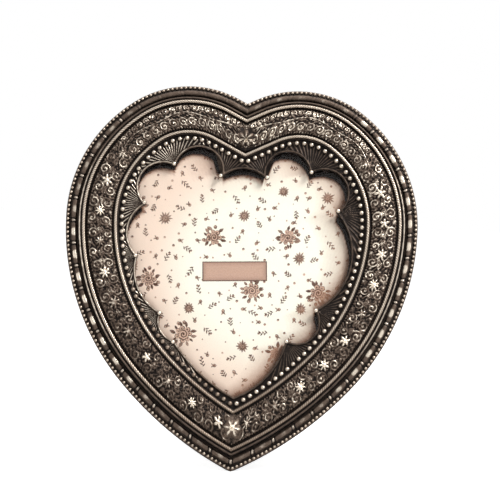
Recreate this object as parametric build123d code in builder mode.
from build123d import *
import math
import os

os.makedirs("parts", exist_ok=True)

# A heart shaped photo frame that leans back on its own tip and on a strut behind it.
# Every part is drawn on the face plane: x to the right, y up the face, z out of its front.
# The outer notch between the two lobes is that plane's zero, and z zero is the frame's back.
# The strut and its leaf are drawn on a plane of their own, with the hinge pin as its zero.

# How the frame stands
lean_deg = 15.0
tip_flat_cut = 0.9
tip_shift_back = 1.6

# Heart outline, right half, from the notch round to the tip: a short flank, then four arcs,
# sized as shares of the half width
half_width = 84.8
flank_share = 0.059
flank_rise_deg = 27.0
lobe_radius_shares = (0.5778, 0.8373, 1.4033, 2.0283)
lobe_turns_deg = (62.8, 54.3, 41.8)
path_overrun = 18.0
tip_overrun_deg = 0.6

# Casting, across its rim: distances in from the outer edge, and heights above its back
edge_height = 3.9
edge_round = 0.4
bead_ledge_height = 4.2
reed_ledge_inset = 2.0
reed_ledge_height = 4.5
groove_inset = 5.7
groove_height = 4.0
fillet_inset = 6.4
fillet_width = 0.9
fillet_height = 7.7
fillet_round = 0.25
rope_ledge_height = 7.0
band_inset = 10.2
band_width = 12.8
band_edge_height = 7.4
band_rise = 1.7
band_rise_shares = ((0.1, 0.42), (0.3, 0.9), (0.5, 1.0), (0.7, 0.9), (0.9, 0.42))
lip_inset = 25.4
lip_height = 7.4
lip_underside = 6.4
rebate_inset = 21.0
wall = 2.4
inner_wall = 1.5
low_ceiling = 2.3
high_ceiling = 5.2
ceiling_step_inset = 7.4

# Trim laid on the casting
outer_bead_radius = 0.88
outer_bead_inset = 0.98
outer_bead_count = 126
inner_bead_radius = 1.25
inner_bead_inset = 27.1
inner_bead_count = 54
bead_flat_deg = 14.0
reed_width = 3.2
reed_height = 1.65
reed_inset = 2.2
outer_rope_radius = 0.9
outer_rope_inset = 8.85
inner_rope_radius = 0.85
inner_rope_inset = 24.2
rope_sink_share = 0.35
emboss_height = 0.8

# Scalloped liner round the window
liner_thickness = 1.6
liner_rim_width = 1.0
liner_rim_height = 0.55
cusp_bead_radius = 1.1
cusp_bead_draw_share = 0.02
# Each row: a cusp's place, then the top of the scallop that follows it, clockwise from
# the cusp left of the middle, as shares of the lip's inner heart: across of its half
# width, down of its height from its notch to its tip
scallop_shares = (
    ((-0.187, 0.0821), (0.0, 0.041)),
    ((0.1842, 0.0807), (0.374, -0.0354)),
    ((0.5354, 0.0513), (0.8423, 0.0997)),
    ((0.7595, 0.2011), (0.8865, 0.414)),
    ((0.6139, 0.5947), (0.6239, 0.6901)),
    ((0.3926, 0.7195), (0.2427, 0.8663)),
    ((0.0, 0.9515), (-0.267, 0.8649)),
    ((-0.494, 0.7415), (-0.6124, 0.693)),
    ((-0.6124, 0.6328), (-0.808, 0.533)),
    ((-0.8266, 0.4125), (-0.918, 0.3186)),
    ((-0.7823, 0.2025), (-0.848, 0.1027)),
    ((-0.5625, 0.0425), (-0.4054, -0.0383)),
)
window_middle_down_share = 0.427

# The stack behind the window
glass_thickness = 2.0
insert_thickness = 0.3
filler_thickness = 0.5
board_thickness = 2.0
velvet_thickness = 0.5
stack_gap = 0.6
insert_trim = 0.6
label_width = 31.0
label_height = 9.6
label_thickness = 0.12
label_turn_deg = 3.0
label_across_share = -0.04
label_down_share = 0.4507

# Motifs at the tip and at the notch
boss_skirt = 1.2
tip_flower_radius = 6.4
tip_flower_rise = 2.6
tip_flower_band_share = 0.59
crest_radius = 5.6
crest_rise = 2.6
crest_band_share = 0.55

# Turn buttons and their screws
post_radius = 3.4
post_inset = 14.6
post_height = 0.9
button_length = 13.5
button_width = 6.4
button_thickness = 1.0
button_play = 0.1
screw_radius = 1.25
screw_clearance = 0.08
screw_head_radius = 2.5
screw_head_height = 1.3
screw_head_round = 0.6
screw_slot_width = 0.6
screw_slot_depth = 0.5
screw_depth = 3.6
button_shares = (("upper", 0.17), ("middle", 0.43), ("lower", 0.67))

# Strut, hinge and rivets
hinge_height_share = 0.6473
strut_open_deg = 37.0
strut_board_thickness = 3.0
strut_velvet_thickness = 0.4
strut_start = 2.9
strut_reach_share = 1.1207
strut_top_width = 30.0
strut_waist_share = 0.5
strut_waist_width = 34.0
strut_foot_share = 0.92
strut_foot_width = 50.0
strut_corner = 4.0
pin_radius = 1.0
pin_clearance = 0.05
pin_overhang = 0.5
knuckle_radius = 2.0
knuckle_lift = 0.5
knuckle_width = 8.0
knuckle_gap = 0.3
leaf_thickness = 0.8
leaf_height = 14.0
leaf_corner = 3.0
stop_gap = 0.3
rivet_radius = 1.2
rivet_head_radius = 2.2
rivet_head_height = 0.9
rivet_head_round = 0.5
rivet_spread_share = 0.3
rivet_place_share = 0.62

flank_length = half_width * flank_share
lobe_radii = [half_width * share for share in lobe_radius_shares]


# The directions along the outline and in from it, at a heading above the x axis
def along_and_inward(heading_deg):
    heading = math.radians(heading_deg)
    along = Vector(math.cos(heading), math.sin(heading))
    return along, Vector(along.Y, -along.X)


# Each arc's centre, radius and the heading it starts at, from the flank round to the tip
def outline_arcs():
    heading = flank_rise_deg
    along, inward = along_and_inward(heading)
    point = along * flank_length
    arcs = []
    for index, radius in enumerate(lobe_radii):
        centre = point + inward * radius
        arcs.append((centre, radius, heading))
        if index < len(lobe_turns_deg):
            heading -= lobe_turns_deg[index]
            along, inward = along_and_inward(heading)
            point = centre - inward * radius
    return arcs


# How far the inner corners of an outline set in by a distance lie below the outer notch
def notch_drop(inset):
    return inset / math.cos(math.radians(flank_rise_deg))


def tip_drop(inset):
    centre, radius, heading = outline_arcs()[-1]
    return math.sqrt((radius - inset) ** 2 - centre.X**2) - centre.Y


# Values that follow from the ones above
notch_to_tip = tip_drop(0)
lip_half_width = half_width - lip_inset
lip_notch_drop = notch_drop(lip_inset)
lip_heart_height = tip_drop(lip_inset) - lip_notch_drop
hinge_above_tip = notch_to_tip * hinge_height_share
strut_reach = hinge_above_tip * strut_reach_share
lean = math.radians(lean_deg)
opening = math.radians(strut_open_deg)
face_place = Plane(
    origin=(
        0,
        notch_to_tip * math.sin(lean) + tip_shift_back,
        notch_to_tip * math.cos(lean) - tip_flat_cut,
    ),
    x_dir=(1, 0, 0),
    z_dir=(0, -math.cos(lean), math.sin(lean)),
).location
liner_top = lip_underside
liner_base = liner_top - liner_thickness
glass_base = liner_base - glass_thickness
insert_base = glass_base - insert_thickness
filler_base = insert_base - filler_thickness
board_base = filler_base - board_thickness
velvet_base = board_base - velvet_thickness
stack_inset = rebate_inset + stack_gap
hinge_up = hinge_above_tip - notch_to_tip
pin_depth = knuckle_radius + knuckle_lift - velvet_base
strut_place = face_place * Location((0, hinge_up, -pin_depth), (strut_open_deg, 0, 0))
floor_on_face = Plane(face_place.inverse() * Plane.XY.location)
floor_on_strut = Plane(strut_place.inverse() * Plane.XY.location)
leaf_width = 3 * knuckle_width + 2 * knuckle_gap
leaf_top = velvet_base - leaf_thickness
strut_leaf_base = -knuckle_radius
strut_velvet_base = strut_leaf_base + leaf_thickness
strut_board_base = strut_velvet_base + strut_velvet_thickness
strut_front = strut_board_base + strut_board_thickness
leaf_to_pin = pin_depth + leaf_top
stop_reach = (leaf_to_pin - stop_gap - strut_velvet_base * math.cos(opening)) / math.sin(opening)


# How far the last arc turns before it meets the middle line, on an outline set in
def closing_turn(inset):
    centre, radius, heading = outline_arcs()[-1]
    return heading + math.degrees(math.pi + math.asin(centre.X / (radius - inset)))


# The right half of the outline, set in by a distance
def half_outline(inset):
    along, inward = along_and_inward(flank_rise_deg)
    corner = Vector(0, -inset / along.X)
    last = Line(corner, along * flank_length + inward * inset)
    turns = list(lobe_turns_deg) + [closing_turn(inset)]
    for radius, turn in zip(lobe_radii, turns):
        last = JernArc(start=last @ 1, tangent=last % 1, radius=radius - inset, arc_size=-turn)


def heart_face(inset):
    with BuildLine() as outline:
        half_outline(inset)
        mirror(about=Plane.YZ)
    make_face(outline.edges())


# A place in the window, by shares of the lip's inner heart
def in_window(across_share, down_share):
    return Vector(lip_half_width * across_share, -lip_notch_drop - lip_heart_height * down_share)


# The window's scalloped outline, an arc from each cusp to the next
def window_face(mode=Mode.ADD):
    rows = [[in_window(*place) for place in row] for row in scallop_shares]
    with BuildLine() as outline:
        for index, (cusp, top) in enumerate(rows):
            ThreePointArc(cusp, top, rows[(index + 1) % len(rows)][0])
    make_face(outline.edges(), mode=mode)


def heart_sheet(base, thickness, inset):
    with BuildSketch(Plane.XY.offset(base)) as sheet:
        heart_face(inset)
    extrude(sheet.sketch, amount=thickness)


# Runs a section round the heart: straight along the flank from before the middle line,
# then turned about each arc's centre to just past the tip, and mitred at both ends.
# The section is drawn with x going in from the edge and y up.
def moulding(edges):
    along, inward = along_and_inward(flank_rise_deg)
    start = along * -path_overrun
    with BuildSketch(Plane(origin=start, x_dir=inward, z_dir=along * -1)) as section:
        make_face(edges)
    extrude(section.sketch, amount=-path_overrun - flank_length)
    turns = list(lobe_turns_deg) + [closing_turn(0) + tip_overrun_deg]
    for (centre, radius, heading), turn in zip(outline_arcs(), turns):
        along, inward = along_and_inward(heading)
        start = centre - inward * radius
        with BuildSketch(Plane(origin=start, x_dir=inward, z_dir=along * -1)) as section:
            make_face(edges)
        revolve(section.sketch, axis=Axis(centre, (0, 0, -1)), revolution_arc=turn)
    split(bisect_by=Plane.YZ, keep=Keep.TOP)
    mirror(about=Plane.YZ)
    split(bisect_by=floor_on_face, keep=Keep.TOP)


def straight_moulding(profile):
    with BuildLine() as outline:
        Polyline(*profile, close=True)
    moulding(outline.edges())


def half_round(inset, width, base, height):
    left = (inset, base)
    right = (inset + width, base)
    with BuildLine() as outline:
        ThreePointArc(left, (inset + width / 2, base + height), right)
        Line(right, left)
    moulding(outline.edges())


def rope(inset, radius, base):
    seat = radius * (1 - rope_sink_share)
    spread = math.sqrt(radius**2 - seat**2)
    half_round(inset - spread, 2 * spread, base, seat + radius)


# Beads cut flat underneath, evenly spaced along both halves of an outline
def bead_row(inset, count, radius, base):
    with BuildLine() as row:
        half_outline(inset)
    path = row.wires()[0]
    places = []
    for index in range(count):
        point = path @ ((index + 0.5) / count)
        places += [(point.X, point.Y, base), (-point.X, point.Y, base)]
    with Locations(*places):
        Sphere(
            radius=radius,
            arc_size1=-bead_flat_deg,
            align=(Align.CENTER, Align.CENTER, Align.MIN),
        )


# Rivets with round heads outside a leaf and shanks through all that it holds
def rivets(places, base, shank):
    with Locations(*[Plane(origin=(across, up, base), z_dir=(0, 0, -1)) for across, up in places]):
        Cylinder(
            radius=rivet_radius,
            height=shank,
            align=(Align.CENTER, Align.CENTER, Align.MAX),
        )
        Cylinder(
            radius=rivet_head_radius,
            height=rivet_head_height,
            align=(Align.CENTER, Align.CENTER, Align.MIN),
        )
    fillet(faces().sort_by(Axis.Z)[0:len(places)].edges(), radius=rivet_head_round)


# The strut's outline, from its top end down past the floor and cut there
def strut_sheet(base, thickness):
    corner = (strut_top_width / 2 - strut_corner, -strut_start)
    shoulder = (strut_top_width / 2, -strut_start - strut_corner)
    waist = (strut_waist_width / 2, -strut_reach * strut_waist_share)
    foot = (strut_foot_width / 2, -strut_reach * strut_foot_share)
    heel = (strut_foot_width / 2, -strut_reach)
    with BuildLine() as outline:
        Line((0, -strut_start), corner)
        RadiusArc(corner, shoulder, strut_corner)
        Spline(shoulder, waist, foot, tangents=((0, -1), (0, -1)))
        Polyline(foot, heel, (0, -strut_reach))
        mirror(about=Plane.YZ)
    with BuildSketch(Plane.XY.offset(base)) as sheet:
        make_face(outline.edges())
        with Locations(*strut_rivet_places):
            Circle(rivet_radius, mode=Mode.SUBTRACT)
    extrude(sheet.sketch, amount=thickness)
    split(bisect_by=floor_on_strut, keep=Keep.TOP)


# A round boss with a domed top, standing on the band's bed
def domed_boss(drop, radius, rise):
    base = band_edge_height
    top = base + band_rise + emboss_height + rise - boss_skirt
    middle = Vector(0, -drop)
    shoulder = top - rise + boss_skirt
    with BuildLine() as outline:
        Polyline((0, top), (0, base), (radius, base), (radius, shoulder))
        RadiusArc((0, top), (radius, shoulder), radius * 2)
    with BuildSketch(Plane(origin=middle, x_dir=(1, 0, 0), z_dir=(0, -1, 0))) as section:
        make_face(outline.edges())
    revolve(section.sketch, axis=Axis(middle, (0, 0, 1)))


bed_shape = [
    (band_inset + band_width * across, band_edge_height + band_rise * rise)
    for across, rise in band_rise_shares
]
rim_profile = [
    (0, 0),
    (0, edge_height),
    (edge_round, bead_ledge_height),
    (reed_ledge_inset, bead_ledge_height),
    (reed_ledge_inset, reed_ledge_height),
    (groove_inset, reed_ledge_height),
    (groove_inset, groove_height),
    (fillet_inset, groove_height),
    (fillet_inset, fillet_height - fillet_round),
    (fillet_inset + fillet_round, fillet_height),
    (fillet_inset + fillet_width - fillet_round, fillet_height),
    (fillet_inset + fillet_width, fillet_height - fillet_round),
    (fillet_inset + fillet_width, rope_ledge_height),
    (band_inset, rope_ledge_height),
    (band_inset, band_edge_height),
    *bed_shape,
    (band_inset + band_width, band_edge_height),
    (lip_inset, lip_height),
    (lip_inset, lip_underside),
    (rebate_inset, lip_underside),
    (rebate_inset, 0),
    (rebate_inset - inner_wall, 0),
    (rebate_inset - inner_wall, high_ceiling),
    (ceiling_step_inset + wall, high_ceiling),
    (ceiling_step_inset, low_ceiling),
    (wall, low_ceiling),
    (wall, 0),
]

# Where each turn button is pivoted, its plane's x going in towards the board
post_planes = {}
with BuildLine() as post_row:
    half_outline(post_inset)
post_path = post_row.wires()[0]
for height_name, share in button_shares:
    point = post_path @ share
    tangent = post_path % share
    for side_name, side in (("right", 1), ("left", -1)):
        post_planes[height_name + "_" + side_name] = Plane(
            origin=(side * point.X, point.Y, -post_height),
            x_dir=(side * tangent.Y, -tangent.X, 0),
            z_dir=(0, 0, -1),
        )
post_places = [plane.location for plane in post_planes.values()]

rivet_across = leaf_width * rivet_spread_share
rivet_along = leaf_height * rivet_place_share
board_rivet_places = [(side * rivet_across, hinge_up + rivet_along) for side in (1, -1)]
strut_rivet_places = [(side * rivet_across, -rivet_along) for side in (1, -1)]

with BuildPart() as frame_casting:
    straight_moulding(rim_profile)
    with Locations(*post_places):
        Cylinder(
            radius=post_radius,
            height=post_height + high_ceiling,
            align=(Align.CENTER, Align.CENTER, Align.MAX),
        )
        Hole(radius=screw_radius, depth=screw_depth)

with BuildPart() as outer_beading:
    bead_row(outer_bead_inset, outer_bead_count, outer_bead_radius, bead_ledge_height)

with BuildPart() as reeded_border:
    half_round(reed_inset, reed_width, reed_ledge_height, reed_height)

with BuildPart() as outer_rope_rib:
    rope(outer_rope_inset, outer_rope_radius, rope_ledge_height)

with BuildPart() as embossed_band:
    raised = [(across, height + emboss_height) for across, height in bed_shape]
    straight_moulding([*bed_shape, *reversed(raised)])

with BuildPart() as inner_rope_rib:
    rope(inner_rope_inset, inner_rope_radius, lip_height)

with BuildPart() as tip_flower:
    flower_inset = band_inset + band_width * tip_flower_band_share
    domed_boss(tip_drop(flower_inset), tip_flower_radius, tip_flower_rise)
    add(frame_casting.part, mode=Mode.SUBTRACT)
    add(embossed_band.part, mode=Mode.SUBTRACT)

with BuildPart() as notch_crest:
    crest_inset = band_inset + band_width * crest_band_share
    domed_boss(notch_drop(crest_inset), crest_radius, crest_rise)
    add(frame_casting.part, mode=Mode.SUBTRACT)
    add(embossed_band.part, mode=Mode.SUBTRACT)

middle_of_window = in_window(0, window_middle_down_share)
cusp_places = [
    Location(cusp + (cusp - middle_of_window) * cusp_bead_draw_share)
    for cusp in [in_window(*cusp) for cusp, top in scallop_shares if cusp[0] != 0]
]

with BuildPart() as scalloped_liner:
    with BuildSketch(Plane.XY.offset(liner_base)):
        heart_face(stack_inset)
        window_face(Mode.SUBTRACT)
    extrude(amount=liner_thickness)
    with BuildSketch(Plane.XY.offset(liner_top)):
        window_face()
        offset(amount=liner_rim_width)
        window_face(Mode.SUBTRACT)
        with Locations(*cusp_places):
            Circle(cusp_bead_radius)
    extrude(amount=liner_rim_height)
    with Locations(*[place * Pos(Z=liner_top + liner_rim_height) for place in cusp_places]):
        Sphere(
            radius=cusp_bead_radius,
            arc_size1=0,
            align=(Align.CENTER, Align.CENTER, Align.MIN),
        )

with BuildPart() as inner_beading:
    bead_row(inner_bead_inset, inner_bead_count, inner_bead_radius, liner_top)

with BuildPart() as glass_pane:
    heart_sheet(glass_base, glass_thickness, stack_inset)

label_place = in_window(label_across_share, label_down_share)
with BuildPart() as name_label:
    with BuildSketch(Plane.XY.offset(glass_base)):
        with Locations(label_place):
            Rectangle(label_width, label_height, rotation=label_turn_deg)
    extrude(amount=-label_thickness)

with BuildPart() as floral_insert:
    heart_sheet(insert_base, insert_thickness, stack_inset + insert_trim)
    add(name_label.part, mode=Mode.SUBTRACT)

with BuildPart() as filler_card:
    heart_sheet(filler_base, filler_thickness, stack_inset + insert_trim)

with BuildPart() as backing_board:
    heart_sheet(board_base, board_thickness, stack_inset)
    with Locations(*[(across, up, filler_base) for across, up in board_rivet_places]):
        Hole(radius=rivet_radius)

with BuildPart() as velvet_back:
    heart_sheet(velvet_base, velvet_thickness, stack_inset)
    with Locations(*[(across, up, board_base) for across, up in board_rivet_places]):
        Hole(radius=rivet_radius)

with BuildPart() as turn_button:
    with BuildSketch(Plane.XY.offset(button_play)):
        with Locations(((button_length - button_width) / 2, 0)):
            SlotOverall(button_length, button_width)
        Circle(screw_radius + screw_clearance, mode=Mode.SUBTRACT)
    extrude(amount=button_thickness)

head_base = button_thickness + 2 * button_play
with BuildPart() as button_screw:
    with BuildSketch(Plane.XY.offset(-screw_depth)):
        Circle(screw_radius)
    extrude(amount=screw_depth + head_base)
    with BuildSketch(Plane.XY.offset(head_base)):
        Circle(screw_head_radius)
    extrude(amount=screw_head_height)
    fillet(faces().sort_by(Axis.Z)[-1].edges(), radius=screw_head_round)
    with BuildSketch(Plane.XY.offset(head_base + screw_head_height)):
        Rectangle(2 * screw_head_radius, screw_slot_width)
    extrude(amount=-screw_slot_depth, mode=Mode.SUBTRACT)

with BuildPart() as turn_button_screws:
    for place in post_places:
        add(place * button_screw.part)

with BuildPart() as hinge_leaf_board:
    with BuildSketch(Plane.XY.offset(velvet_base)):
        with Locations((0, hinge_up + leaf_height / 2)):
            RectangleRounded(leaf_width, leaf_height, leaf_corner)
        with Locations((0, hinge_up + leaf_corner / 2)):
            Rectangle(leaf_width, leaf_corner)
        with Locations((0, hinge_up)):
            Rectangle(
                knuckle_width + 2 * knuckle_gap,
                2 * (knuckle_radius + knuckle_gap),
                mode=Mode.SUBTRACT,
            )
        with Locations(*board_rivet_places):
            Circle(rivet_radius, mode=Mode.SUBTRACT)
    extrude(amount=-leaf_thickness)
    outer_knuckles = [
        (side * (knuckle_width + knuckle_gap), hinge_up, -pin_depth) for side in (1, -1)
    ]
    with Locations(*outer_knuckles):
        Cylinder(radius=knuckle_radius, height=knuckle_width, rotation=(0, 90, 0))
    with Locations((0, hinge_up, -pin_depth)):
        Cylinder(radius=pin_radius, height=leaf_width, rotation=(0, 90, 0), mode=Mode.SUBTRACT)

with BuildPart() as hinge_pin:
    with Locations((0, hinge_up, -pin_depth)):
        Cylinder(radius=pin_radius, height=leaf_width + 2 * pin_overhang, rotation=(0, 90, 0))

with BuildPart() as hinge_rivets:
    rivets(board_rivet_places, leaf_top, leaf_thickness + velvet_thickness + board_thickness)

with BuildPart() as strut_board:
    strut_sheet(strut_board_base, strut_board_thickness)

with BuildPart() as strut_velvet:
    strut_sheet(strut_velvet_base, strut_velvet_thickness)

with BuildPart() as hinge_leaf_strut:
    with BuildSketch(Plane.XY.offset(strut_leaf_base)):
        with Locations((0, -leaf_height / 2)):
            RectangleRounded(leaf_width, leaf_height, leaf_corner)
        with Locations((0, 0)):
            Rectangle(leaf_width, 2 * (knuckle_radius + knuckle_gap), mode=Mode.SUBTRACT)
        with Locations((0, -leaf_corner)):
            Rectangle(knuckle_width, 2 * leaf_corner)
        with Locations((0, stop_reach / 2)):
            Rectangle(knuckle_width, stop_reach)
        with Locations(*strut_rivet_places):
            Circle(rivet_radius, mode=Mode.SUBTRACT)
    extrude(amount=leaf_thickness)
    Cylinder(radius=knuckle_radius, height=knuckle_width, rotation=(0, 90, 0))
    Cylinder(
        radius=pin_radius + pin_clearance,
        height=knuckle_width,
        rotation=(0, 90, 0),
        mode=Mode.SUBTRACT,
    )

with BuildPart() as strut_rivets:
    rivets(strut_rivet_places, strut_leaf_base, strut_front - strut_leaf_base)

# Each part is set leaning on its own place, named and written
face_parts = {
    "frame_casting": frame_casting,
    "outer_beading": outer_beading,
    "reeded_border": reeded_border,
    "outer_rope_rib": outer_rope_rib,
    "embossed_band": embossed_band,
    "inner_rope_rib": inner_rope_rib,
    "tip_flower": tip_flower,
    "notch_crest": notch_crest,
    "scalloped_liner": scalloped_liner,
    "inner_beading": inner_beading,
    "glass_pane": glass_pane,
    "name_label": name_label,
    "floral_insert": floral_insert,
    "filler_card": filler_card,
    "backing_board": backing_board,
    "velvet_back": velvet_back,
    "turn_button_screws": turn_button_screws,
    "hinge_leaf_board": hinge_leaf_board,
    "hinge_pin": hinge_pin,
    "hinge_rivets": hinge_rivets,
}
strut_parts = {
    "strut_board": strut_board,
    "strut_velvet": strut_velvet,
    "hinge_leaf_strut": hinge_leaf_strut,
    "strut_rivets": strut_rivets,
}
for places, parts in ((face_place, face_parts), (strut_place, strut_parts)):
    for name, built in parts.items():
        built.part.move(places)
        built.part.label = name
        export_step(built.part, "parts/" + name + ".step")
for name, plane in post_planes.items():
    placed = face_place * plane.location * turn_button.part
    placed.label = "turn_button_" + name
    export_step(placed, "parts/turn_button_" + name + ".step")
